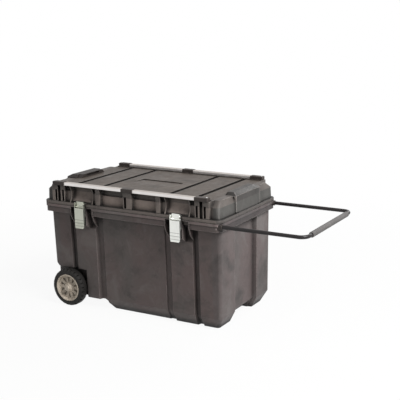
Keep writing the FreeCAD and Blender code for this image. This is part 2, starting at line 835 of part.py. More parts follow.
def latch_rivets():
    """Domed rivets that hold the base plates to the tub, all alike."""
    heads = []
    seat = front_plane - sheet
    for side in SIDES:
        for dx, z in rivet_places():
            x = side * latch_x + dx
            head = rod((x, seat, z), (0, -1, 0), rivet_d / 2, rivet_h)
            head = head.makeChamfer(rivet_bevel, [e for e in head.Edges
                                                  if e.BoundBox.YMax < seat - rivet_h / 2])
            heads.append(head.fuse(rod((x, seat, z), (0, 1, 0), rivet_shank_d / 2, sheet)))
    return Part.makeCompound(heads)


def latch_lever(x):
    """Pressed lever: a face with two side cheeks, a curled lip and grip ribs."""
    top = link_z - lever_face_drop
    outer = lever_face_y - sheet
    low = lever_bottom_z
    face = box(x - latch_half, x + latch_half, outer, lever_face_y, low, top)
    face = face.makeFillet(lever_round, [e for e in face.Edges if e.BoundBox.ZMax < low + 1
                                         and e.BoundBox.YLength > 1 and e.BoundBox.XLength < 0.1])
    shapes = [face]
    for side in SIDES:
        x0, x1 = pair(x + side * (latch_half - sheet), x + side * latch_half)
        shapes.append(prism_x([(lever_face_y, low + cheek_start), (lever_face_y, pivot_z + 2),
                               (pivot_y - ear_out, pivot_z + ear_up),
                               (pivot_y + cheek_back - 2, pivot_z + ear_up),
                               (pivot_y + cheek_back, pivot_z + 2),
                               (pivot_y + cheek_back, pivot_z - cheek_deep),
                               (pivot_y, pad_low_z + pad_ramp),
                               (pivot_y - 1, low + cheek_start)], x0, x1))
        shapes.append(box(x0, x1, outer, lever_face_y, top - 1, pivot_z + 2))
    shapes.append(prism_x([(lever_face_y, low), (outer, low),
                           (outer - lip_out, low - lip_drop + 1),
                           (lever_face_y - lip_out, low - lip_drop)],
                          x - latch_half + lip_in, x + latch_half - lip_in))
    for i in range(rib_count):
        shapes.append(rod((x - latch_half + rib_in, outer, low + rib_up + rib_pitch * i), (1, 0, 0),
                          rib_r, 2 * (latch_half - rib_in)))
    return joined(shapes).cut([pin_bore(x, pivot_z), pin_bore(x, link_z)])


def latch_hook(x):
    """Draw plate: curled round the link pin, with a lip over the keeper's front."""
    back = pivot_y + hook_inner_r
    curl = rod((x - hook_half, pivot_y, link_z), (1, 0, 0), hook_outer_r, 2 * hook_half)
    plate = box(x - hook_half, x + hook_half, back, pivot_y + hook_outer_r, link_z, hook_top_z)
    lip = box(x - hook_half, x + hook_half, back, lip_y, hook_top_z - sheet, hook_top_z)
    hook = joined([curl, plate, lip])
    hook = hook.makeFillet(hook_round, [e for e in hook.Edges
                                        if abs(e.BoundBox.ZMin - hook_top_z) < 0.01
                                        and abs(e.BoundBox.YMin - back) < 0.01
                                        and e.BoundBox.XLength > hook_half])
    return hook.cut(pin_bore(x, link_z))


def latch_pivot_pins(x):
    """Two short shouldered rivets, one through each cheek and ear."""
    pins = []
    for side in SIDES:
        start = x + side * (ear_inner - 1)
        shank = rod((start, pivot_y, pivot_z), (side, 0, 0), pin_d / 2,
                    latch_half - ear_inner + 1.1)
        head = rod((x + side * (latch_half + 0.1), pivot_y, pivot_z), (side, 0, 0),
                   pin_head_d / 2, pin_head_t)
        pins.append(shank.fuse(head))
    return Part.makeCompound(pins)


def latch_link_pin(x):
    half = latch_half + 0.1
    shank = rod((x - half, pivot_y, link_z), (1, 0, 0), pin_d / 2, 2 * half)
    heads = [rod((x + side * half, pivot_y, link_z), (side, 0, 0), pin_d / 2 + 1, pin_head_t)
             for side in SIDES]
    return joined([shank] + heads)


def latch_keeper(x):
    """Steel catch on the lid flange."""
    half = hook_half
    upright = box(x - half, x + half, -rim_y, -rim_y + sheet, parting_z + 2, hook_top_z - 0.5)
    foot = box(x - half, x + half, -rim_y, -lid_front_half, flange_z, flange_z + sheet)
    return joined([upright, foot])


# ---------------------------------------------------------------- hinge pins
def hinge_pin(x):
    length = knuckle_mid + 2 * knuckle_gap + 2 * knuckle_side
    half = length / 2 + running_fit
    pin = rod((x - half, hinge_y, parting_z), (1, 0, 0), hinge_pin_d / 2, 2 * half)
    heads = [rod((x + side * half, hinge_y, parting_z), (side, 0, 0),
                 hinge_pin_d / 2 + pin_head_over, pin_head_len) for side in SIDES]
    return joined([pin] + heads)


# ---------------------------------------------------------------- handle
def handle_path():
    x0, x1, y, r = tube_inner_x, tube_far_x, tube_y, tube_bend_r
    h = r * (1 - math.sqrt(0.5))
    z = tube_z
    edges = [
        Part.makeLine(V(x0, -y, z), V(x1 - r, -y, z)),
        Part.Arc(V(x1 - r, -y, z), V(x1 - h, -y + h, z), V(x1, -y + r, z)).toShape(),
        Part.makeLine(V(x1, -y + r, z), V(x1, y - r, z)),
        Part.Arc(V(x1, y - r, z), V(x1 - h, y - h, z), V(x1 - r, y, z)).toShape(),
        Part.makeLine(V(x1 - r, y, z), V(x0, y, z)),
    ]
    return Part.Wire(edges)


def handle_tube():
    def swept(radius):
        circle = Part.makeCircle(radius, V(tube_inner_x, -tube_y, tube_z), V(1, 0, 0))
        return handle_path().makePipeShell([Part.Wire([circle])], True, False)

    return swept(tube_d / 2).cut(swept(tube_d / 2 - tube_wall))


def handle_grip():
    sleeve = rod((tube_far_x, -grip_half, tube_z), (0, 1, 0), grip_d / 2, 2 * grip_half)
    sleeve = sleeve.makeChamfer(grip_bevel, [sleeve.Edges[0], sleeve.Edges[2]])
    return sleeve.cut(rod((tube_far_x, -grip_half - past, tube_z), (0, 1, 0),
                          tube_d / 2 + grip_fit, 2 * (grip_half + past)))


def handle_stop(side):
    """Slider on the hidden end of a leg, which meets the stop rib when pulled out."""
    h = tube_d / 2 + stop_side
    y = side * tube_y
    block = box(tube_inner_x, tube_inner_x + stop_length, y - h, y + h,
                tube_z - channel_half_z + wall_play / 2, tube_z + channel_half_z - wall_play)
    block = block.makeChamfer(stop_bevel, [e for e in block.Edges if e.BoundBox.XLength > 1])
    return block.cut(rod((tube_inner_x - past, y, tube_z), (1, 0, 0), tube_d / 2 + grip_fit,
                         stop_length + 2 * past))


def handle_guide(side):
    """Bush that carries a leg where it leaves the skirt."""
    y = side * tube_y
    collar = rod((rim_x, y, tube_z), (1, 0, 0), tube_d / 2 + collar_over, collar_out)
    collar = collar.makeChamfer(collar_bevel, [e for e in collar.Edges
                                               if e.BoundBox.XMin > rim_x + 1])
    return joined([guide_pocket(side, guide_seat), collar]).cut(
        rod((guide_from - past, y, tube_z), (1, 0, 0), tube_d / 2 + guide_fit, rim_x))


# ---------------------------------------------------------------- wheels
def revolved(points, y_sign):
    """Revolve an (axial, radius) outline about the axle; axial runs outwards."""
    pts = [(wheel_x, y_sign * a, wheel_r + r) for a, r in points]
    return face_of(pts).revolve(V(wheel_x, 0, wheel_r), V(0, 1, 0), 360)


def tyre(side):
    """Tyre with a rounded tread and staggered notches across both shoulders."""
    inner = wheel_face - wheel_w
    seat = hub_r + hub_seat_gap
    outline = [(inner, seat)]
    for i in range(tread_steps + 1):
        angle = math.pi / 2 * i / tread_steps
        outline.append((inner + tread_crown * (1 - math.cos(angle)),
                        wheel_r - tread_crown * (1 - math.sin(angle))))
    for i in range(tread_steps + 1):
        angle = math.pi / 2 * (1 - i / tread_steps)
        outline.append((wheel_face - tread_crown * (1 - math.cos(angle)),
                        wheel_r - tread_crown * (1 - math.sin(angle))))
    outline += [(wheel_face, seat + bead_w), (wheel_face - bead_w / 2, seat)]
    notches = []
    step = 360.0 / tread_lugs
    shoulders = ((inner - past, inner + tread_crown, step / 2),
                 (wheel_face - tread_crown, wheel_face + past, 0.0))
    for i in range(tread_lugs):
        for near, far, turn in shoulders:
            notch = box(wheel_x - tread_groove_w / 2, wheel_x + tread_groove_w / 2,
                        *span(side, near, far), wheel_d - tread_groove_depth, wheel_d + past)
            notch.rotate(V(wheel_x, 0, wheel_r), V(0, 1, 0), step * i + turn)
            notches.append(notch)
    return revolved(outline, side).cut(notches)


def hub(side):
    """Dished wheel centre with a rim, a spoked web and a boss that runs on the axle."""
    inner = wheel_face - wheel_w
    boss_in = well_inner_y + 2 * washer_gap + washer_t
    bore = axle_d / 2 + running_fit
    face = wheel_face - hub_dish
    web = face - hub_web_t
    outline = [(inner + 2, hub_r), (wheel_face - 2, hub_r), (wheel_face, hub_r - 2),
               (wheel_face, hub_r - hub_rim_t), (face, hub_r - 2 * hub_rim_t),
               (face - 2, boss_foot_r), (wheel_face - boss_shoulder - boss_set, boss_r + 2),
               (wheel_face - boss_set, boss_r), (wheel_face - boss_set, bore), (boss_in, bore),
               (boss_in, boss_r), (web - past, boss_r + 2), (web - 2, boss_foot_r),
               (web, hub_r - 2 * hub_rim_t), (inner + 2, hub_r - hub_rim_t)]
    windows = []
    for i in range(spokes):
        low, high = wheel_r + window_in_r, wheel_r + hub_r - window_out_gap
        window = prism_y([(wheel_x - window_in_half, low), (wheel_x + window_in_half, low),
                          (wheel_x + window_out_half, high), (wheel_x - window_out_half, high)],
                         *span(side, inner - past, wheel_face + past))
        window.rotate(V(wheel_x, 0, wheel_r), V(0, 1, 0), 360.0 * i / spokes)
        windows.append(window)
    return revolved(outline, side).cut(windows)


def axle():
    end = wheel_face - boss_set + cap_gap + cap_grip
    return rod((wheel_x, -end, wheel_r), (0, 1, 0), axle_d / 2, 2 * end)


def axle_washer(side):
    y = side * (well_inner_y + washer_gap)
    ring = rod((wheel_x, y, wheel_r), (0, side, 0), washer_d / 2, washer_t)
    return ring.cut(rod((wheel_x, y - side, wheel_r), (0, side, 0), axle_d / 2 + running_fit,
                        washer_t + 2))


def axle_cap(side):
    y = side * (wheel_face - boss_set + cap_gap)
    cap = rod((wheel_x, y, wheel_r), (0, side, 0), cap_d / 2, cap_t)
    outer = [e for e in cap.Edges if abs(e.BoundBox.YMax - (y + side * cap_t)) < 0.01
             and e.BoundBox.YLength < 0.01]
    bore = rod((wheel_x, y - side, wheel_r), (0, side, 0), axle_d / 2 + running_fit, cap_grip + 1)
    return cap.makeChamfer(cap_bevel, outer).cut(bore)


# ---------------------------------------------------------------- build
SIDE_NAMES = {-1: "left", 1: "right"}
DEPTH_NAMES = {-1: "front", 1: "rear"}

save("body_tub", body_tub())
save("lid_shell", lid_shell())
save("lid_seal", lid_seal())
save("lid_grip", lid_grip())
save("rail_screws", rail_screws())
save("latch_rivets", latch_rivets())
save("handle_tube", handle_tube())
save("handle_grip", handle_grip())
save("axle", axle())
for side, word in DEPTH_NAMES.items():
    save("rail_" + word, rail(side))
    save("rail_clamp_" + word, rail_cover(-clamp_half, clamp_half, side, 0))
    save("rail_cap_" + word + "_left", rail_cover(-cap_to, -cap_from, side, -1))
    save("rail_cap_" + word + "_right", rail_cover(cap_from, cap_to, side, 1))
    save("handle_guide_" + word, handle_guide(side))
    save("handle_stop_" + word, handle_stop(side))
    save("tyre_" + word, tyre(side))
    save("hub_" + word, hub(side))
    save("axle_washer_" + word, axle_washer(side))
    save("axle_cap_" + word, axle_cap(side))
for side, word in SIDE_NAMES.items():
    save("latch_base_" + word, latch_base(side * latch_x))
    save("latch_lever_" + word, latch_lever(side * latch_x))
    save("latch_hook_" + word, latch_hook(side * latch_x))
    save("latch_pivot_pins_" + word, latch_pivot_pins(side * latch_x))
    save("latch_link_pin_" + word, latch_link_pin(side * latch_x))
    save("latch_keeper_" + word, latch_keeper(side * latch_x))
    save("hinge_pin_" + word, hinge_pin(side * hinge_x))
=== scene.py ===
import math

import bmesh
import bpy
from bpy.props import FloatProperty, FloatVectorProperty, PointerProperty
from bpy.types import Operator, Panel, PropertyGroup
from mathutils import Matrix, Vector


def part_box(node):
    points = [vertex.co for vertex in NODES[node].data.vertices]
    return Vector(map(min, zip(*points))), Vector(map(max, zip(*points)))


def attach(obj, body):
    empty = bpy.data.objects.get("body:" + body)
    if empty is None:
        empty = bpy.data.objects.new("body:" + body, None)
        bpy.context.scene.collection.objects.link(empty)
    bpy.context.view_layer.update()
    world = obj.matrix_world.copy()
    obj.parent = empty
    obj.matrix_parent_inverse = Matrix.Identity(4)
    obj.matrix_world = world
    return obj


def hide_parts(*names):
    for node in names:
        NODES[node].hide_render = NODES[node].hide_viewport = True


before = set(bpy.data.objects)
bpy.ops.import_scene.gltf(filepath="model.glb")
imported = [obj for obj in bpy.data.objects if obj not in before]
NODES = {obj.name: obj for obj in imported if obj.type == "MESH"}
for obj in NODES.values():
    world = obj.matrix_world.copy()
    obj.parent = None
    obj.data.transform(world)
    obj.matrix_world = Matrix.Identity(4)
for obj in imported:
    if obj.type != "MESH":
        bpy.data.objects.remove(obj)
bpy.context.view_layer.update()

bl_info = {
    "name": "Jobsite Chest",
    "version": (1, 0, 0),
    "blender": (4, 5, 0),
    "location": "View3D > Sidebar > Chest",
    "description": "Dresses a wheeled jobsite storage chest: foam plastic, rails, latches, wheels",
    "category": "Object",
}

FRONT_REAR = (("front", -1), ("rear", 1))
LEFT_RIGHT = (("left", -1), ("right", 1))
LENGTHWISE, ACROSS, UP = 0, 1, 2            # the axes X, Y and Z
FAR = 0.7                                   # where open zones end, past all that they tint
MERGE = 0.00001                             # corners nearer than this become one
RAYS = 6                                    # samples of the rounding and of the crevice test

MIDDLE_SLOT = (-0.018, -0.005)              # slot in the middle post, along X
POST_SLOTS = ((0.347, 0.358), (0.386, 0.397))   # slots in the outer posts, from the middle
PRESS_LINES = (0.010, 0.024, 0.038)         # lines pressed in a lever, heights over its foot


# ------------------------------------------------------------------ settings
def swatch(name, description, default):
    return FloatVectorProperty(name=name, description=description, subtype="COLOR", size=3,
                               default=default, min=0.0, max=1.0)


def length(name, description, default):
    return FloatProperty(name=name, description=description, subtype="DISTANCE",
                         default=default, min=0.0)


def gain(name, description, default):
    return FloatProperty(name=name, description=description, default=default, min=0.0)


def spot(name, description, default):
    return FloatVectorProperty(name=name, description=description, subtype="TRANSLATION",
                               size=3, default=default)


class FoamSettings(PropertyGroup):
    tub_colour: swatch("Tub", "Base colour of the tub", (0.088, 0.076, 0.072))
    lid_colour: swatch("Lid", "Base colour of the lid", (0.080, 0.069, 0.063))
    warm: swatch("Warm swirl", "Tint of the warm swirls in the tub", (0.098, 0.074, 0.071))
    lid_warm: swatch("Lid swirl", "Tint of the warm swirls in the lid", (0.086, 0.075, 0.068))
    pale: gain("Pale marks", "Gain of the pale flow marks", 1.42)
    dark: gain("Dark marks", "Gain of the dark flow marks", 0.55)
    # edges painted paler: partly wear, partly painted highlight
    rubbed_and_highlit: gain("Rubbed edges", "Gain of the rubbed edges", 4.2)
    # painted shade: hollows and crevice set the dark painted deep in grooves and corners
    hollow: gain("Hollows", "Gain of the colour deep in grooves and corners", 0.10)
    grain: length("Grain", "Height of the moulded grain", 0.00025)
    edge_radius: length("Edge radius", "Rounding seen at the moulded edges", 0.0032)
    crevice: length("Crevice", "How far the dark in grooves and corners reaches", 0.034)
    # painted light on the bar and the lid's flange, painted shade on the skirt under the bar
    bar: length("Bar", "Height of the rubbed bar round the rim", 0.015)
    skirt: length("Skirt", "Height of the skirt and bar under the rim", 0.038)
    flange: length("Flange", "Height of the lid's flange", 0.014)


class PlasticSettings(PropertyGroup):
    fitting_colour: swatch("Fittings", "Colour of clamps, caps, guides and stops",
                           (0.036, 0.029, 0.026))
    grip_gain: gain("Grip", "Gain of that colour on the lid's grip and hood", 0.6)
    seal_colour: swatch("Seal", "Colour of the lid seal", (0.02, 0.02, 0.02))
    sleeve_colour: swatch("Sleeve", "Colour of the handle's sleeve", (0.095, 0.09, 0.088))
    tyre_colour: swatch("Tyres", "Colour of the tyres", (0.012, 0.011, 0.010))
    hub_colour: swatch("Hubs", "Colour of the spoked centres", (0.46, 0.40, 0.33))
    # painted shade: the discs behind the spokes are painted darker than the hubs
    shaded_dish_colour: swatch("Dishes", "Colour of the discs behind the spokes", (0.22, 0.19, 0.155))


class MetalSettings(PropertyGroup):
    rail_colour: swatch("Rails", "Colour of the drawn aluminium", (0.80, 0.77, 0.75))
    # painted shade: the tops of the rails are painted darker
    rail_top_shade: swatch("Rail tops", "Tint of the dusty tops of the rails", (0.58, 0.53, 0.49))
    top_shade_depth: length("Dust depth", "How far the dusty tone reaches down a rail", 0.0007)
    # painted light and shade: one steel, the left latch painted duller, the right brighter
    latch_left_shaded: swatch("Left latch", "Colour of the duller latch sheet", (0.50, 0.51, 0.44))
    latch_right_lit: swatch("Right latch", "Colour of the brighter latch sheet", (0.86, 0.87, 0.83))
    steel_colour: swatch("Steel", "Colour of the axle, pins and fasteners", (0.55, 0.55, 0.54))
    tube_colour: swatch("Handle tube", "Colour of the coated tube", (0.014, 0.012, 0.012))
    press_y: length("Pressed face", "From the middle to where the pressed lines start", 0.2685)
    press_width: length("Pressed lines", "Width of a line pressed in a lever", 0.002)
    # painted shade in the lines pressed in a lever
    press_shade: gain("Pressed tone", "Gain of the colour in those lines", 0.42)


class FoldSettings(PropertyGroup):
    half: length("Half width", "Half width of a lever's fold", 0.019)
    thick: length("Thickness", "Thickness of the fold", 0.0015)
    drop: length("Drop", "From the underside of the link pin down to the fold", 0.0021)
    front: length("Front", "How far it starts in front of the pin's front", 0.003)
    back: length("Back", "How far it reaches behind the pin's front", 0.002)


class DishSettings(PropertyGroup):
    hole: length("Hole", "Radius of the hole round the axle", 0.014)
    rim: length("Rim", "Radius of the disc", 0.0585)
    thick: length("Thickness", "Thickness of the disc", 0.0016)
    back: length("Depth", "From the hub's outer end in to the disc", 0.0172)


class LedgeSettings(PropertyGroup):
    foot: length("Foot", "Height of the ledges' underside", 0.4343)
    thick: length("Thickness", "Thickness of the ledges", 0.0045)
    end_in: length("End start", "From the middle to an end ledge", 0.424)
    end_out: length("End stop", "From the middle to its outer edge", 0.4448)
    end_half: length("End half", "Half length of an end ledge", 0.101)
    side_in: length("Side start", "From the middle to a front or rear ledge", 0.2095)
    side_out: length("Side stop", "From the middle to its outer edge", 0.2228)
    middle_half: length("Middle half", "Half length of the middle ledge", 0.200)
    groove_in: length("Groove start", "From the middle to an outer groove's ledge", 0.311)
    groove_out: length("Groove stop", "From the middle to its other side", 0.342)


class LidSettings(PropertyGroup):
    top: length("Top", "Height of the flat top", 0.570)
    wall: length("Wall", "Thickness of the moulding", 0.0045)
    flat_x: length("Flat half length", "Half length of the flat top", 0.440)
    flat_y: length("Flat half width", "Half width of the flat top", 0.204)
    end_x: length("End", "From the middle to the end wall", 0.455)
    end_low: length("End foot", "Foot of the raised end part and of the slots", 0.499)
    knee: length("Knee", "Where the wall starts to slope in", 0.545)
    front_y: length("Front", "From the middle to the front wall", 0.240)
    field_in: length("Field start", "From the middle to a front field", 0.024)
    field_out: length("Field end", "From the middle to its other side", 0.147)
    field_top: length("Field top", "Height of the field's lower step", 0.541)
    ledge_x: length("Ledge half length", "Half length of the ledges", 0.4125)
    ledge_y: length("Ledge", "From the middle to a ledge's outer face", 0.2255)
    ledge_h: length("Ledge height", "Height of a ledge", 0.022)
    bead_w: length("Bead width", "Width of the bead along a ledge", 0.004)
    bead_h: length("Bead height", "Height of the bead over the top", 0.0035)
    groove_in: length("Inner groove", "From the middle to the inner grooves", 0.1765)
    groove_out: length("Outer groove", "From the middle to the outer grooves", 0.317)
    groove_w: length("Groove width", "Width of a groove", 0.022)
    groove_depth: length("Groove depth", "Depth of a groove", 0.013)
    slot_y: length("Slot depth", "From the middle to the bottom of the post slots", 0.2375)
    slot_top: length("Slot top", "Height of the top of the post slots", 0.550)
    bay_x: length("Bay", "From the middle to a latch bay", 0.253)
    bay_half: length("Bay half width", "Half width of a latch bay", 0.0578)
    scoop_y: length("Scoop", "From the middle to the axis of a bay's hollow", 0.262)
    scoop_z: length("Scoop height", "Height of that axis", 0.540)
    scoop_r: length("Scoop radius", "Radius of the hollow", 0.0415)
    crown_x: length("Crown foot", "From the middle to the inner foot of the raised part", 0.4065)
    crown_y: length("Crown half width", "Half width of the raised part", 0.107)
    crown_h: length("Crown height", "Height of the raised part", 0.0131)
    crown_lean: length("Crown lean", "How far its inner side leans", 0.003)
    crown_slope: length("Crown slope", "How far each side comes in at its top", 0.016)
    crown_proud: length("Crown step", "How far it stands out past the end wall", 0.0052)
    hood_x: length("Hood", "From the middle to the inner side of the hood", 0.4065)
    hood_h: length("Hood height", "Height of the hood over the top", 0.0145)
    hood_bevel: length("Hood bevel", "Height of its sloping outer edge", 0.011)
    hood_foot: length("Hood foot", "Half length of its foot", 0.096)
    hood_top: length("Hood top", "Half length of its top", 0.080)
    hood_proud: length("Hood step", "How far it stands out past the raised part's step", 0.0005)
    hood_sunk: length("Hood seat", "How far it sits under the flat top", 0.001)
    hood_lap: length("Hood lap", "How far its hook reaches into the end wall", 0.002)
    hood_round: length("Hood edges", "Bevel of its edges", 0.0016)


class StageSettings(PropertyGroup):
    azimuth: FloatProperty(
        name="Azimuth", description="Angle of the camera round the chest", subtype="ANGLE",
        default=math.radians(25.45))
    elevation: FloatProperty(
        name="Elevation", description="Angle of the camera above the floor", subtype="ANGLE",
        default=math.radians(11.73))
    distance: length("Distance", "From the camera to its target", 3.866)
    target: spot("Target", "Point in the middle of the lens", (0.5340, 0.3202, 0.5794))
    lens: FloatProperty(
        name="Lens", description="Focal length", unit="CAMERA", default=74.79, min=10)
    shift: FloatVectorProperty(
        name="Shift", description="Lens shift in picture widths", size=2,
        default=(-0.2383, -0.0567))
    key: FloatProperty(
        name="Key", description="Power of the key light", unit="POWER", default=290.0, min=0)
    key_place: spot("Key place", "Place of the key light", (3.2, -0.9, 3.3))
    key_aim: spot("Key aim", "Point that the key light faces", (0.0, 0.0, 0.3))
    key_size: length("Key size", "Side of the key light", 2.0)
    back: FloatProperty(
        name="Back", description="Power of the light behind the chest", unit="POWER",
        default=30.0, min=0)
    back_place: spot("Back place", "Place of the light behind", (0.6, 3.4, 2.2))
    back_aim: spot("Back aim", "Point that the light behind faces", (0.0, 0.0, 0.45))
    back_size: length("Back size", "Side of the light behind", 1.2)
    fill: gain("Fill", "Strength of the sky as a light", 0.22)
    floor_half: length("Floor size", "Half length of the floor", 30.0)
    floor_drop: length("Floor drop", "How far the floor lies under the wheels", 0.0005)
    floor_near: FloatProperty(
        name="Floor", description="White of the floor round the chest", subtype="FACTOR",
        default=0.93, min=0, max=1)
    floor_fade: length("Floor fade", "Where the floor has turned white", 2.4)


class ChestSettings(PropertyGroup):
    foam: PointerProperty(type=FoamSettings)
    plastic: PointerProperty(type=PlasticSettings)
    metal: PointerProperty(type=MetalSettings)
    fold: PointerProperty(type=FoldSettings)
    dish: PointerProperty(type=DishSettings)
    ledges: PointerProperty(type=LedgeSettings)
    lid: PointerProperty(type=LidSettings)
    stage: PointerProperty(type=StageSettings)


# ------------------------------------------------------------------ materials
class Shade:
    """A node material whose patterns follow Object coordinates."""

    def __init__(self, name):
        self.material = bpy.data.materials.new(name)
        self.material.use_nodes = True
        self.tree = self.material.node_tree
        self.shader = self.tree.nodes["Principled BSDF"]
        self.place = self.node("ShaderNodeTexCoord").outputs["Object"]

    def node(self, kind, **settings):
        made = self.tree.nodes.new(kind)
        for key, value in settings.items():
            setattr(made, key, value)
        return made

    def feed(self, socket, value):
        """Links a socket to the input, or writes a number or colour in it."""
        if isinstance(value, bpy.types.NodeSocket):
            self.tree.links.new(value, socket)
        elif socket.type == "RGBA":
            socket.default_value = (*value[:3], 1.0)
        else:
            socket.default_value = value

    def put(self, **values):
        """Sets or links the shader's own sockets, with underscores for spaces."""
        for key, value in values.items():
            self.feed(self.shader.inputs[key.replace("_", " ")], value)

    def stretched(self, scale, turn=(0, 0, 0)):
        mapping = self.node("ShaderNodeMapping")
        self.feed(mapping.inputs["Vector"], self.place)
        mapping.inputs["Scale"].default_value = scale
        mapping.inputs["Rotation"].default_value = turn
        return mapping.outputs[0]

    def noise(self, scale, detail=4.0, roughness=0.5, distortion=0.0, at=None):
        made = self.node("ShaderNodeTexNoise")
        self.feed(made.inputs["Vector"], at or self.place)
        made.inputs["Scale"].default_value = scale
        made.inputs["Detail"].default_value = detail
        made.inputs["Roughness"].default_value = roughness
        made.inputs["Distortion"].default_value = distortion
        return made.outputs["Fac"]

    def ramp(self, value, low, high, start=0.0, end=1.0):
        """Maps value from low..high to start..end, held at both ends."""
        made = self.node("ShaderNodeMapRange")
        self.feed(made.inputs["Value"], value)
        for key, number in zip(("From Min", "From Max", "To Min", "To Max"),
                               (low, high, start, end)):
            made.inputs[key].default_value = number
        return made.outputs["Result"]

    def maths(self, operation, first, second):
        made = self.node("ShaderNodeMath", operation=operation)
        self.feed(made.inputs[0], first)
        self.feed(made.inputs[1], second)
        return made.outputs[0]

    def mix(self, share, first, second, blend="MIX"):
        """Mixes two colours, which are inputs 6 and 7 and output 2 of the node."""
        made = self.node("ShaderNodeMix", data_type="RGBA", blend_type=blend)
        self.feed(made.inputs["Factor"], share)
        self.feed(made.inputs[6], first)
        self.feed(made.inputs[7], second)
        return made.outputs[2]

    def along(self, axis):
        """Place along one axis: 0, 1 or 2."""
        made = self.node("ShaderNodeSeparateXYZ")
        self.feed(made.inputs[0], self.place)
        return made.outputs[axis]

    def between(self, value, low, high, soft=0.001):
        """One where value lies between low and high, with soft ends."""
        return self.maths("MULTIPLY", self.ramp(value, low - soft, low + soft),
                          self.ramp(value, high + soft, high - soft))

    def toned(self, colour, zones):
        """Multiplies a colour by each zone's tint inside its box."""
        reach = [self.maths("ABSOLUTE", self.along(axis), 0.0) for axis in (LENGTHWISE, ACROSS)]
        reach.append(self.along(UP))
        for *spans, tint in zones:
            share = 1.0
            for value, span in zip(reach, spans):
                if span is not None:
                    share = self.maths("MULTIPLY", self.between(value, *span), share)
            colour = self.mix(share, colour, tint, "MULTIPLY")
        return colour

    def rounded(self, radius):
        made = self.node("ShaderNodeBevel", samples=RAYS)
        made.inputs["Radius"].default_value = radius
        return made.outputs["Normal"]

    def open_to_air(self, distance):
        """One on open faces, falling towards zero in grooves and corners."""
        made = self.node("ShaderNodeAmbientOcclusion", samples=RAYS)
        made.inputs["Distance"].default_value = distance
        return made.outputs["AO"]

    def edges(self, normal):
        """Zero where the rounded normal leans off its face by under 6 degrees, one past 37."""
        geometry = self.node("ShaderNodeNewGeometry")
        dot = self.node("ShaderNodeVectorMath", operation="DOT_PRODUCT")
        self.feed(dot.inputs[0], normal)
        self.feed(dot.inputs[1], geometry.outputs["Normal"])
        return self.ramp(dot.outputs["Value"], 0.995, 0.80)

    def bump(self, height, distance, normal, strength=1.0):
        made = self.node("ShaderNodeBump")
        self.feed(made.inputs["Height"], height)
        made.inputs["Distance"].default_value = distance
        made.inputs["Strength"].default_value = strength
        self.feed(made.inputs["Normal"], normal)
        return made.outputs["Normal"]


def zone(tint, x=None, y=None, z=None):
    """A box for Shade.toned, with a tint of one number or three.

    x and y are (low, high) of the distance from the middle and z of the height, and one that
    isn't given has no limits.
    """
    return x, y, z, (tint, tint, tint) if isinstance(tint, float) else tint


def scaled(colour, share):
    """The same colour, darker or paler."""
    return tuple(c * share for c in colour)


def foam(name, colour, warm, settings, zones):
    """Structural foam: grainy skin, cloudy flow marks, paler edges from wear and painted
    highlight, painted shade in hollows.
    """
    s = Shade(name)
    pale, dark = scaled(colour, settings.pale), scaled(colour, settings.dark)
    flow = s.noise(4.2, detail=4.0, roughness=0.55, distortion=0.4,
                   at=s.stretched((1.0, 1.0, 0.6)))
    cloud = s.noise(8.0, detail=7.0, roughness=0.62, distortion=0.5,
                    at=s.stretched((1.0, 1.0, 0.8), turn=(0.3, 0.5, 0.2)))
    fleck = s.noise(38.0, detail=6.0, roughness=0.68, distortion=0.8)
    tint = s.mix(s.ramp(flow, 0.40, 0.62), colour, warm)
    tint = s.mix(s.ramp(cloud, 0.52, 0.68, end=0.85), tint, dark)
    tint = s.mix(s.ramp(cloud, 0.46, 0.33, end=0.85), tint, pale)
    tint = s.mix(s.ramp(fleck, 0.54, 0.72, end=0.45), tint, pale)
    tint = s.toned(tint, zones)
    normal = s.rounded(settings.edge_radius)
    air = s.open_to_air(settings.crevice)
    # edges painted paler: partly wear, partly painted highlight
    patches = s.ramp(s.noise(60.0), 0.35, 0.65, start=0.45)
    rub_and_highlight = s.maths("MULTIPLY", s.edges(normal), patches)
    rub_and_highlight = s.maths("MULTIPLY", rub_and_highlight, s.ramp(air, 0.80, 0.96))
    tint = s.mix(rub_and_highlight, tint, scaled(colour, settings.rubbed_and_highlit))
    sheen = s.noise(22.0, detail=5.0, roughness=0.6, distortion=1.0)
    grain = s.noise(900.0, detail=3.0, roughness=0.6)
    # painted shade: the colour falls to the hollows gain deep in grooves and corners
    s.put(Base_Color=s.mix(s.ramp(air, 0.46, 0.90), scaled(colour, settings.hollow), tint),
          Roughness=s.ramp(sheen, 0.3, 0.7, start=0.44, end=0.60),
          Specular_IOR_Level=0.28,
          Normal=s.bump(grain, settings.grain, normal, strength=0.6))
    return s.material


def sheet_metal(name, colour, along, roughness, zones=()):
    """Metal with fine lines along one axis and faint handling marks."""
    line_depth, corner = 0.00002, 0.0008
    s = Shade(name)
    stretch = [220.0, 220.0, 220.0]
    stretch[along] = 3.0
    lines = s.noise(6.0, detail=4.0, roughness=0.6, at=s.stretched(stretch))
    blotch = s.noise(16.0, detail=5.0, roughness=0.6, distortion=0.8)
    haze = s.noise(40.0, detail=4.0, roughness=0.6)
    tone = s.mix(s.ramp(lines, 0.3, 0.7), scaled(colour, 0.86), colour)
    tone = s.mix(s.ramp(blotch, 0.45, 0.70, end=0.35), tone, scaled(colour, 0.80))
    s.put(Base_Color=s.toned(tone, zones), Metallic=1.0,
          Roughness=s.ramp(haze, 0.3, 0.7, start=roughness - 0.06, end=roughness + 0.08),
          Normal=s.bump(lines, line_depth, s.rounded(corner)))
    return s.material


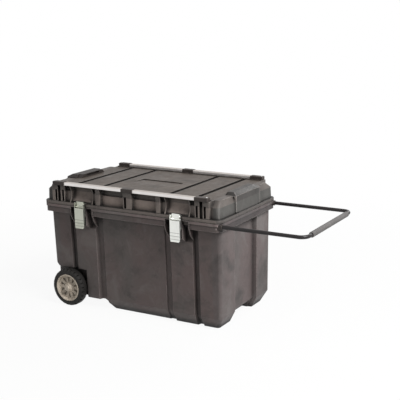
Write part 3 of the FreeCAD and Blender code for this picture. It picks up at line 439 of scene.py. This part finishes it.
def coated(name, colour, roughness, grain, depth):
    """Coated metal or plain plastic with edges painted paler for wear and as painted highlight,
    and a grain of this scale and depth.
    """
    corner = 0.0012
    s = Shade(name)
    cloud = s.noise(30.0, detail=5.0, roughness=0.6, distortion=0.5)
    haze = s.noise(55.0, detail=4.0, roughness=0.6)
    tone = s.mix(s.ramp(cloud, 0.35, 0.70), scaled(colour, 0.82), scaled(colour, 1.15))
    # edges painted paler: partly wear, partly painted highlight
    worn_and_highlit = tuple(min(c * 1.9 + 0.01, 1.0) for c in colour)
    normal = s.rounded(corner)
    s.put(Base_Color=s.mix(s.maths("MULTIPLY", s.edges(normal), 0.5), tone, worn_and_highlit),
          Roughness=s.ramp(haze, 0.3, 0.7, start=roughness - 0.07, end=roughness + 0.08),
          Specular_IOR_Level=0.26,
          Normal=s.bump(s.noise(grain, detail=3.0, roughness=0.6), depth, normal))
    return s.material


def paint(piece, material):
    piece.data.materials.clear()
    piece.data.materials.append(material)


def dress(node, material):
    """Gives a carried node its material."""
    paint(NODES[node], material)


# ------------------------------------------------------------------ shapes
def span(side, near, far):
    """Two distances on one side of the middle, in rising order."""
    return sorted((side * near, side * far))


def prism(bm, axis, outline, low, high):
    """Extrudes an outline of the other two axes from low to high along axis."""
    def at(point, along):
        place = list(point)
        place.insert(axis, along)
        return place

    face = bm.faces.new([bm.verts.new(at(point, low)) for point in outline])
    grown = bmesh.ops.extrude_face_region(bm, geom=[face])["geom"]
    moved = [v for v in grown if isinstance(v, bmesh.types.BMVert)]
    bmesh.ops.translate(bm, verts=moved, vec=Vector(at((0.0, 0.0), high - low)))


def block(bm, low, high):
    """Box between two corners."""
    outline = ((low[0], low[1]), (high[0], low[1]), (high[0], high[1]), (low[0], high[1]))
    prism(bm, UP, outline, low[2], high[2])


def roller(bm, centre, radius, half, segments=64):
    """Solid cylinder along X."""
    turn = Matrix.Translation(centre) @ Matrix.Rotation(math.pi / 2, 4, "Y")
    bmesh.ops.create_cone(bm, cap_ends=True, segments=segments, radius1=radius, radius2=radius,
                          depth=2 * half, matrix=turn)


def tapered(bm, foot, height, share):
    """Narrows in Y what stands above foot, by this share at its full height."""
    for v in bm.verts:
        if v.co.z > foot:
            v.co.y *= 1.0 - share * (v.co.z - foot) / height


def joined(bm, other):
    """Puts the faces of another bmesh beside those of bm, and frees it."""
    mesh = bpy.data.meshes.new("joined")
    other.to_mesh(mesh)
    other.free()
    bm.from_mesh(mesh)
    bpy.data.meshes.remove(mesh)


def finished(name, bm):
    """Turns a closed bmesh into an object at the origin, faces outwards."""
    bmesh.ops.recalc_face_normals(bm, faces=bm.faces)
    mesh = bpy.data.meshes.new(name)
    bm.to_mesh(mesh)
    bm.free()
    piece = bpy.data.objects.new(name, mesh)
    bpy.context.scene.collection.objects.link(piece)
    return piece


def copied(node, name):
    """A merged copy of a carried moulding, to carve."""
    bm = bmesh.new()
    bm.from_mesh(NODES[node].data)
    bmesh.ops.remove_doubles(bm, verts=bm.verts, dist=MERGE)
    return finished(name, bm)


def carved(piece, bm, operation):
    """Adds the solids of bm to the piece (UNION) or cuts them away (DIFFERENCE)."""
    tool = finished("carving_tool", bm)
    change = piece.modifiers.new("carve", "BOOLEAN")
    change.operation = operation
    change.object = tool
    change.solver = "EXACT"
    change.use_self = operation == "UNION"
    graph = bpy.context.evaluated_depsgraph_get()
    mesh = bpy.data.meshes.new_from_object(piece.evaluated_get(graph))
    piece.modifiers.clear()
    piece.data = mesh
    bpy.data.objects.remove(tool)


# ------------------------------------------------------------------ operators
class CHEST_OT_tub(Operator):
    """Finish the foam tub and close the gaps over its recesses"""
    bl_idname = "chest.tub"
    bl_label = "Tub"

    def execute(self, context):
        chest = context.scene.chest
        foams = chest.foam
        material = foam("tub_foam", foams.tub_colour, foams.warm, foams, self.zones(chest))
        dress("body_tub", material)
        self.ledges(chest.ledges, material)
        return {"FINISHED"}

    def zones(self, chest):
        seam, over, end_wall = 0.002, 0.02, 0.05
        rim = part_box("lid_seal")[0][2]
        end = chest.lid.end_x
        bar, under = rim - chest.foam.bar, rim - chest.foam.skirt
        # painted light: the bar round the rim is painted paler
        painted_light_on_bar = zone(1.50, z=(bar, rim))
        # painted shade: the skirt under the bar is painted darker
        skirt = zone(0.86, z=(under, bar))
        # painted shadow along the foot of the bar
        shadow_line_under_bar = zone(0.3, z=(bar - seam, bar + seam / 2))
        # painted shade in the gap between tub and lid
        shaded_gap_at_rim = zone(0.2, z=(rim - seam, rim + over))
        # painted shade: the skirts at the ends are painted darker still
        shaded_end_skirts = zone((0.52, 0.54, 0.56), x=(end, FAR), z=(under, rim))
        # painted light tone: the end walls are painted slightly cooler than the other sides
        painted_end_wall_tone = zone((0.96, 1.0, 1.02), x=(end - end_wall, FAR), z=(0.0, under))
        return painted_light_on_bar, skirt, shadow_line_under_bar, shaded_gap_at_rim, shaded_end_skirts, painted_end_wall_tone

    def ledges(self, form, material):
        """Closes the gaps that the tub's solid leaves over its recesses and grooves."""
        low, high = form.foot, form.foot + form.thick
        bm = bmesh.new()
        for side in (-1, 1):
            x = span(side, form.end_in, form.end_out)
            block(bm, (x[0], -form.end_half, low), (x[1], form.end_half, high))
            y = span(side, form.side_in, form.side_out)
            block(bm, (-form.middle_half, y[0], low), (form.middle_half, y[1], high))
            for end in (-1, 1):
                x = span(end, form.groove_in, form.groove_out)
                block(bm, (x[0], y[0], low), (x[1], y[1], high))
        piece = finished("tub_ledges", bm)
        paint(piece, material)
        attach(piece, "chest")


class CHEST_OT_lid(Operator):
    """Carve the lid moulding deeper and finish it, its seal, its grip and the grip's hood"""
    bl_idname = "chest.lid"
    bl_label = "Lid"

    def execute(self, context):
        chest = context.scene.chest
        foams, plastics, form = chest.foam, chest.plastic, chest.lid
        shell = copied("lid_shell", "lid_moulding")
        carved(shell, self.adds(form), "UNION")
        carved(shell, self.cuts(form), "DIFFERENCE")
        paint(shell, foam("lid_foam", foams.lid_colour, foams.lid_warm, foams,
                          self.zones(chest)))
        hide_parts("lid_shell")
        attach(shell, "lid")
        black = coated("grip_block", scaled(plastics.fitting_colour, plastics.grip_gain),
                       roughness=0.5, grain=700.0, depth=0.0002)
        dress("lid_grip", black)
        hood = self.hood(form)
        paint(hood, black)
        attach(hood, "lid")
        dress("lid_seal", coated("seal_foam", plastics.seal_colour,
                                 roughness=0.8, grain=1500.0, depth=0.0003))
        return {"FINISHED"}

    def zones(self, chest):
        """Painted light and shade: bands, walls, top and raised parts, then grooves, highlit
        edges, field steps and bays.
        """
        form = chest.lid
        seam, under, corner, bay_half = 0.002, 0.02, 0.0062, 0.045
        worn_and_highlit, inner_y = 3.0, 0.2
        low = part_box("lid_seal")[0][2]
        flange = low + chest.foam.flange
        groove_floor = form.top - form.groove_depth - 0.001
        end, side = form.end_x, form.crown_y
        # painted light: the lid's flange is painted paler
        lit_flange_band = zone((1.45, 1.42, 1.40), z=(low + seam, flange))
        # painted shade in the gap between lid and tub
        shaded_gap_at_rim = zone(0.2, z=(low - under, low + seam))
        # painted shadow along the top of the flange
        shadow_line_over_flange = zone(0.25, z=(flange - 0.0015, flange + 0.003))
        # painted light: the lid's long walls are painted paler
        lit_long_walls = zone((1.9, 1.84, 1.80), x=(0.0, end - 0.04), z=(flange, form.knee))
        # painted shade: the flat top is painted darker and warmer
        shaded_flat_top = zone((0.70, 0.64, 0.57), x=(0.0, end - 0.05), y=(0.0, form.ledge_y),
                        z=(groove_floor, FAR))
        # painted shade: the raised ends are painted darker
        shaded_raised_ends = zone((0.56, 0.60, 0.62), x=(form.crown_x, FAR), y=(0.0, side),
                           z=(form.knee, FAR))
        # painted shade: the lid's end walls are painted darker
        painted_end_wall_tone = zone((0.74, 0.82, 0.84), x=(end - 0.03, FAR), z=(flange, form.knee))
        # painted shade: the flanges at the ends are painted darker
        shaded_end_flanges = zone((0.56, 0.58, 0.60), x=(end - 0.01, FAR), z=(low, flange))
        half, reach = form.groove_w / 2 + 0.0012, form.ledge_y - form.bead_w
        # painted shade: the grooves across the top are painted nearly black
        grooves = [zone(0.04, x=(x - half, x + half), y=(0.0, reach),
                        z=(groove_floor, form.top + 0.002))
                   for x in (form.groove_in, form.groove_out)]
        # painted highlight: the lid's corners and the crown edges are painted paler
        corners = zone(worn_and_highlit, x=(end - corner, FAR), y=(form.front_y - corner, FAR),
                       z=(flange, form.knee))
        highlit_crown_edges = zone(worn_and_highlit, x=(form.crown_x, FAR), y=(side - 0.0025, side + 0.001),
                           z=(flange, form.top))
        # painted light: the lower steps of the front field panels are painted paler
        lit_fields = zone((1.55, 1.50, 1.48), x=(form.field_in, form.field_out),
                      y=(inner_y, form.front_y), z=(flange, form.field_top))
        # painted light: the latch bays are painted paler
        bays = zone((1.35, 1.33, 1.32), x=(form.bay_x - bay_half, form.bay_x + bay_half),
                    y=(inner_y, form.front_y), z=(flange, form.knee + 0.02))
        return [lit_flange_band, shaded_gap_at_rim, shadow_line_over_flange, lit_long_walls, shaded_flat_top, shaded_raised_ends,
                painted_end_wall_tone, shaded_end_flanges, *grooves, corners, highlit_crown_edges, lit_fields, bays]

    def grooves(self, form):
        """Middles of the four grooves, along X."""
        return [side * x for _, side in LEFT_RIGHT for x in (form.groove_in, form.groove_out)]

    def adds(self, form):
        """Ledges along the rails, liners under the grooves and the flat end, a wider crown."""
        top, wall = form.top, form.wall
        bm = bmesh.new()
        for _, side in FRONT_REAR:
            y = span(side, form.flat_y - 2 * wall, form.ledge_y)
            block(bm, (-form.ledge_x, y[0], top - form.ledge_h), (form.ledge_x, y[1], top))
            y = span(side, form.ledge_y - form.bead_w, form.ledge_y)
            block(bm, (-form.ledge_x + wall, y[0], top - wall),
                  (form.ledge_x - wall, y[1], top + form.bead_h))
        half = form.groove_w / 2 + wall
        for x in self.grooves(form):
            block(bm, (x - half, -form.flat_y, top - form.groove_depth - wall),
                  (x + half, form.flat_y, top - wall / 2))
        foot, end, proud = form.end_low, form.end_x, form.end_x + form.crown_proud
        crown = bmesh.new()
        outline = ((end - wall, foot), (end - wall, top - wall), (form.crown_x, top - wall),
                   (form.crown_x, top), (form.crown_x + form.crown_lean, top + form.crown_h),
                   (form.flat_x, top + form.crown_h), (proud, top), (proud, foot))
        prism(crown, ACROSS, outline, -form.crown_y, form.crown_y)
        tapered(crown, top, form.crown_h, form.crown_slope / form.crown_y)
        joined(bm, crown)
        block(bm, (-end + wall / 2, -form.crown_y, top - wall),
              (-form.crown_x + wall, form.crown_y, top - wall / 4))
        return bm

    def cuts(self, form):
        """Grooves across the top, slots in the posts, the bays' hollows and the flat end."""
        out_x, out_y = 0.5, 0.27                # where the cutters end, clear of the lid
        over_groove, over_end = 0.02, 0.05
        flat_depth, flat_margin = 0.0015, 0.002
        top, half, reach = form.top, form.groove_w / 2, form.ledge_y - form.bead_w
        bm = bmesh.new()
        for x in self.grooves(form):
            block(bm, (x - half, -reach, top - form.groove_depth),
                  (x + half, reach, top + over_groove))
        outer = [span(side, *slot) for slot in POST_SLOTS for side in (-1, 1)]
        for x in (MIDDLE_SLOT, *outer):
            for end in (-1, 1):
                y = span(end, form.slot_y, out_y)
                block(bm, (x[0], y[0], form.end_low), (x[1], y[1], form.slot_top))
        for _, side in LEFT_RIGHT:
            roller(bm, (side * form.bay_x, -form.scoop_y, form.scoop_z), form.scoop_r,
                   form.bay_half)
        block(bm, (-out_x, -form.crown_y, top - flat_depth),
              (flat_margin - form.hood_x, form.crown_y, top + over_end))
        return bm

    def hood(self, form):
        """Dark block behind the grip, hooked over the wheel end of the lid."""
        top, high, low = form.top, form.top + form.hood_h, form.top - form.hood_sunk
        end = form.end_x + form.crown_proud + form.hood_proud
        bm = bmesh.new()
        outline = ((-form.hood_x, low), (-form.hood_x, high), (-form.flat_x, high),
                   (-end, high - form.hood_bevel), (-end, form.knee),
                   (-form.end_x + form.hood_lap, form.knee), (-form.flat_x, low))
        prism(bm, ACROSS, outline, -form.hood_foot, form.hood_foot)
        bmesh.ops.recalc_face_normals(bm, faces=bm.faces)
        tapered(bm, top, form.hood_h, 1.0 - form.hood_top / form.hood_foot)
        bmesh.ops.bevel(bm, geom=bm.edges[:], offset=form.hood_round, offset_type="OFFSET",
                        segments=2, profile=0.5, affect="EDGES", material=-1)
        return finished("lid_grip_hood", bm)


class CHEST_OT_fittings(Operator):
    """Finish the dark clamps and caps of the rails and the handle's guides and stops"""
    bl_idname = "chest.fittings"
    bl_label = "Fittings"

    def execute(self, context):
        dark = coated("dark_moulding", context.scene.chest.plastic.fitting_colour,
                      roughness=0.50, grain=700.0, depth=0.0002)
        for word, _ in FRONT_REAR:
            for piece in ("rail_clamp_", "handle_guide_", "handle_stop_"):
                dress(piece + word, dark)
            for end, _ in LEFT_RIGHT:
                dress("rail_cap_" + word + "_" + end, dark)
        return {"FINISHED"}


class CHEST_OT_rails(Operator):
    """Finish the two tie-down rails"""
    bl_idname = "chest.rails"
    bl_label = "Rails"

    def execute(self, context):
        metals = context.scene.chest.metal
        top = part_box("rail_front")[1][2]
        # painted shade on the tops of the rails
        top_shade = zone(metals.rail_top_shade, z=(top - metals.top_shade_depth, FAR))
        rail = sheet_metal("drawn_aluminium", metals.rail_colour, LENGTHWISE, 0.34, (top_shade,))
        for word, _ in FRONT_REAR:
            dress("rail_" + word, rail)
        return {"FINISHED"}


class CHEST_OT_latches(Operator):
    """Finish the draw latches and add the fold of each lever"""
    bl_idname = "chest.latches"
    bl_label = "Latches"

    def execute(self, context):
        chest = context.scene.chest
        metals = chest.metal
        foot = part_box("latch_lever_left")[0][2]
        # painted shade in the lines pressed in each lever
        pressed_shade_lines = [zone(metals.press_shade, y=(metals.press_y, FAR),
                        z=(foot + up, foot + up + metals.press_width)) for up in PRESS_LINES]
        # painted light and shade: the left sheet is the shaded copy, the right the lit one
        for word, colour in (("left", metals.latch_left_shaded), ("right", metals.latch_right_lit)):
            latch = sheet_metal("latch_sheet_" + word, colour, UP, 0.42, pressed_shade_lines)
            self.fold(word, latch, chest.fold)
            for piece in ("base", "lever", "hook", "pivot_pins", "link_pin", "keeper"):
                dress("latch_" + piece + "_" + word, latch)
        return {"FINISHED"}

    def fold(self, word, material, form):
        """Inward fold along the top edge of a lever."""
        low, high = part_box("latch_lever_" + word)
        pin_front, pin_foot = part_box("latch_link_pin_" + word)[0][1:]
        middle, top = (low[0] + high[0]) / 2, pin_foot - form.drop
        bm = bmesh.new()
        block(bm, (middle - form.half, pin_front - form.front, top - form.thick),
              (middle + form.half, pin_front + form.back, top))
        piece = finished("latch_fold_" + word, bm)
        paint(piece, material)
        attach(piece, "lever_" + word)


class CHEST_OT_steel(Operator):
    """Finish the axle, its washers, the hinge pins, the rivets and the screws"""
    bl_idname = "chest.steel"
    bl_label = "Plain steel"

    def execute(self, context):
        plain = sheet_metal("plain_steel", context.scene.chest.metal.steel_colour, ACROSS, 0.36)
        for node in ("axle", "latch_rivets", "rail_screws"):
            dress(node, plain)
        for word, _ in FRONT_REAR:
            dress("axle_washer_" + word, plain)
        for word, _ in LEFT_RIGHT:
            dress("hinge_pin_" + word, plain)
        return {"FINISHED"}


class CHEST_OT_handle(Operator):
    """Finish the pull-out handle and its sleeve"""
    bl_idname = "chest.handle"
    bl_label = "Handle"

    def execute(self, context):
        chest = context.scene.chest
        dress("handle_tube", coated("tube_coat", chest.metal.tube_colour,
                                    roughness=0.36, grain=1200.0, depth=0.00005))
        dress("handle_grip", coated("grip_foam", chest.plastic.sleeve_colour,
                                    roughness=0.7, grain=900.0, depth=0.0004))
        return {"FINISHED"}


class CHEST_OT_wheels(Operator):
    """Finish the wheels and add the disc behind each wheel's spokes"""
    bl_idname = "chest.wheels"
    bl_label = "Wheels"

    def execute(self, context):
        chest = context.scene.chest
        plastics = chest.plastic
        tyre = coated("tyre_rubber", plastics.tyre_colour,
                      roughness=0.62, grain=800.0, depth=0.0002)
        hub = coated("hub_moulding", plastics.hub_colour,
                     roughness=0.48, grain=900.0, depth=0.0001)
        # painted shade on the discs behind the spokes
        inner = coated("hub_inner", plastics.shaded_dish_colour,
                       roughness=0.55, grain=900.0, depth=0.0001)
        for word, side in FRONT_REAR:
            dress("tyre_" + word, tyre)
            self.dish(word, side, inner, chest.dish)
            dress("hub_" + word, hub)
            dress("axle_cap_" + word, hub)
        return {"FINISHED"}

    def dish(self, word, side, material, form):
        """Closed disc behind the spokes."""
        low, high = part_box("hub_" + word)
        middle = [(a + b) / 2 for a, b in zip(low, high)]
        near = side * (max(abs(low[1]), abs(high[1])) - form.back)
        far = near - side * form.thick
        bm = bmesh.new()
        corners = ((form.hole, near), (form.rim, near), (form.rim, far), (form.hole, far))
        verts = [bm.verts.new((middle[0] + r, y, middle[2])) for r, y in corners]
        edges = [bm.edges.new((verts[i - 1], verts[i])) for i in range(len(verts))]
        bmesh.ops.spin(bm, geom=verts + edges, cent=(middle[0], 0.0, middle[2]),
                       axis=(0.0, 1.0, 0.0), angle=2 * math.pi, steps=64, use_merge=True)
        bmesh.ops.remove_doubles(bm, verts=bm.verts, dist=MERGE)
        piece = finished("hub_dish_" + word, bm)
        paint(piece, material)
        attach(piece, "wheel_" + word)


class CHEST_OT_stage(Operator):
    """Add the pale floor, the sky, the lights and the camera"""
    bl_idname = "chest.stage"
    bl_label = "Stage"

    def execute(self, context):
        scene = context.scene
        stage = scene.chest.stage
        scene.view_settings.view_transform = "Standard"
        self.floor(scene, stage)
        self.sky(scene, stage)
        self.lamp(scene, "key_light", stage.key_place, stage.key_aim, stage.key, stage.key_size)
        self.lamp(scene, "back_light", stage.back_place, stage.back_aim, stage.back,
                  stage.back_size)
        self.camera(scene, stage)
        return {"FINISHED"}

    def floor(self, scene, stage):
        """Grey floor that shows white in the distance and keeps the chest's shadow."""
        bm = bmesh.new()
        bmesh.ops.create_grid(bm, x_segments=1, y_segments=1, size=stage.floor_half)
        mesh = bpy.data.meshes.new("floor")
        bm.to_mesh(mesh)
        bm.free()
        floor = bpy.data.objects.new("floor", mesh)
        scene.collection.objects.link(floor)
        floor.location.z = -stage.floor_drop
        s = Shade("pale_floor")
        s.put(Base_Color=s.mix(s.ramp(s.noise(3.0), 0.3, 0.7), (0.58, 0.58, 0.57),
                               (0.62, 0.62, 0.61)), Roughness=0.9)
        far = s.node("ShaderNodeVectorMath", operation="LENGTH")
        s.feed(far.inputs[0], s.place)
        white = s.ramp(far.outputs["Value"], 0.3 * stage.floor_fade, stage.floor_fade,
                       start=stage.floor_near)
        both = s.node("ShaderNodeMixShader")
        s.feed(both.inputs[0], s.maths("MULTIPLY", self.seen_directly(s.tree), white))
        s.feed(both.inputs[1], s.shader.outputs[0])
        s.feed(both.inputs[2], s.node("ShaderNodeEmission").outputs[0])
        s.feed(s.tree.nodes["Material Output"].inputs["Surface"], both.outputs[0])
        mesh.materials.append(s.material)

    def seen_directly(self, tree):
        """One for rays from the camera, a gloss or clear glass, zero for diffuse light."""
        path = tree.nodes.new("ShaderNodeLightPath")
        seen = path.outputs["Is Camera Ray"]
        for kind in ("Is Glossy Ray", "Is Transmission Ray"):
            either = tree.nodes.new("ShaderNodeMath")
            either.operation = "MAXIMUM"
            tree.links.new(seen, either.inputs[0])
            tree.links.new(path.outputs[kind], either.inputs[1])
            seen = either.outputs[0]
        return seen

    def sky(self, scene, stage):
        """White where it is seen, and dimmer as a light."""
        world = bpy.data.worlds.new("sky")
        scene.world = world
        world.use_nodes = True
        tree = world.node_tree
        back = tree.nodes["Background"]
        back.inputs["Color"].default_value = (1.0, 1.0, 1.0, 1.0)
        strength = tree.nodes.new("ShaderNodeMapRange")
        strength.inputs["To Min"].default_value = stage.fill
        strength.inputs["To Max"].default_value = 1.0
        tree.links.new(self.seen_directly(tree), strength.inputs["Value"])
        tree.links.new(strength.outputs["Result"], back.inputs["Strength"])

    def lamp(self, scene, name, place, aim, power, size):
        light = bpy.data.lights.new(name, "AREA")
        light.energy = power
        light.size = size
        lamp = bpy.data.objects.new(name, light)
        scene.collection.objects.link(lamp)
        lamp.location = place
        lamp.rotation_euler = (Vector(aim) - Vector(place)).to_track_quat("-Z", "Y").to_euler()

    def camera(self, scene, stage):
        lens = bpy.data.cameras.new("camera")
        lens.sensor_width = 36.0
        lens.lens = stage.lens
        lens.shift_x, lens.shift_y = stage.shift
        camera = bpy.data.objects.new("camera", lens)
        scene.collection.objects.link(camera)
        turn, tilt = stage.azimuth, stage.elevation
        back = Vector((math.sin(turn) * math.cos(tilt), -math.cos(turn) * math.cos(tilt),
                       math.sin(tilt)))
        camera.location = Vector(stage.target) + back * stage.distance
        camera.rotation_euler = (-back).to_track_quat("-Z", "Y").to_euler()
        scene.camera = camera


STEPS = (CHEST_OT_tub, CHEST_OT_lid, CHEST_OT_fittings, CHEST_OT_rails, CHEST_OT_latches,
         CHEST_OT_steel, CHEST_OT_handle, CHEST_OT_wheels, CHEST_OT_stage)


class CHEST_PT_panel(Panel):
    """Lists the steps that dress the chest"""
    bl_idname = "CHEST_PT_panel"
    bl_label = "Jobsite Chest"
    bl_space_type = "VIEW_3D"
    bl_region_type = "UI"
    bl_category = "Chest"

    def draw(self, context):
        for step in STEPS:
            self.layout.operator(step.bl_idname)


CLASSES = (FoamSettings, PlasticSettings, MetalSettings, FoldSettings, DishSettings,
           LedgeSettings, LidSettings, StageSettings, ChestSettings, *STEPS, CHEST_PT_panel)


def register():
    for item in CLASSES:
        bpy.utils.register_class(item)
    bpy.types.Scene.chest = PointerProperty(type=ChestSettings)


def unregister():
    del bpy.types.Scene.chest
    for item in reversed(CLASSES):
        bpy.utils.unregister_class(item)


def main():
    register()
    for step in STEPS:
        group, name = step.bl_idname.split(".")
        getattr(getattr(bpy.ops, group), name)()


if __name__ == "__main__":
    main()
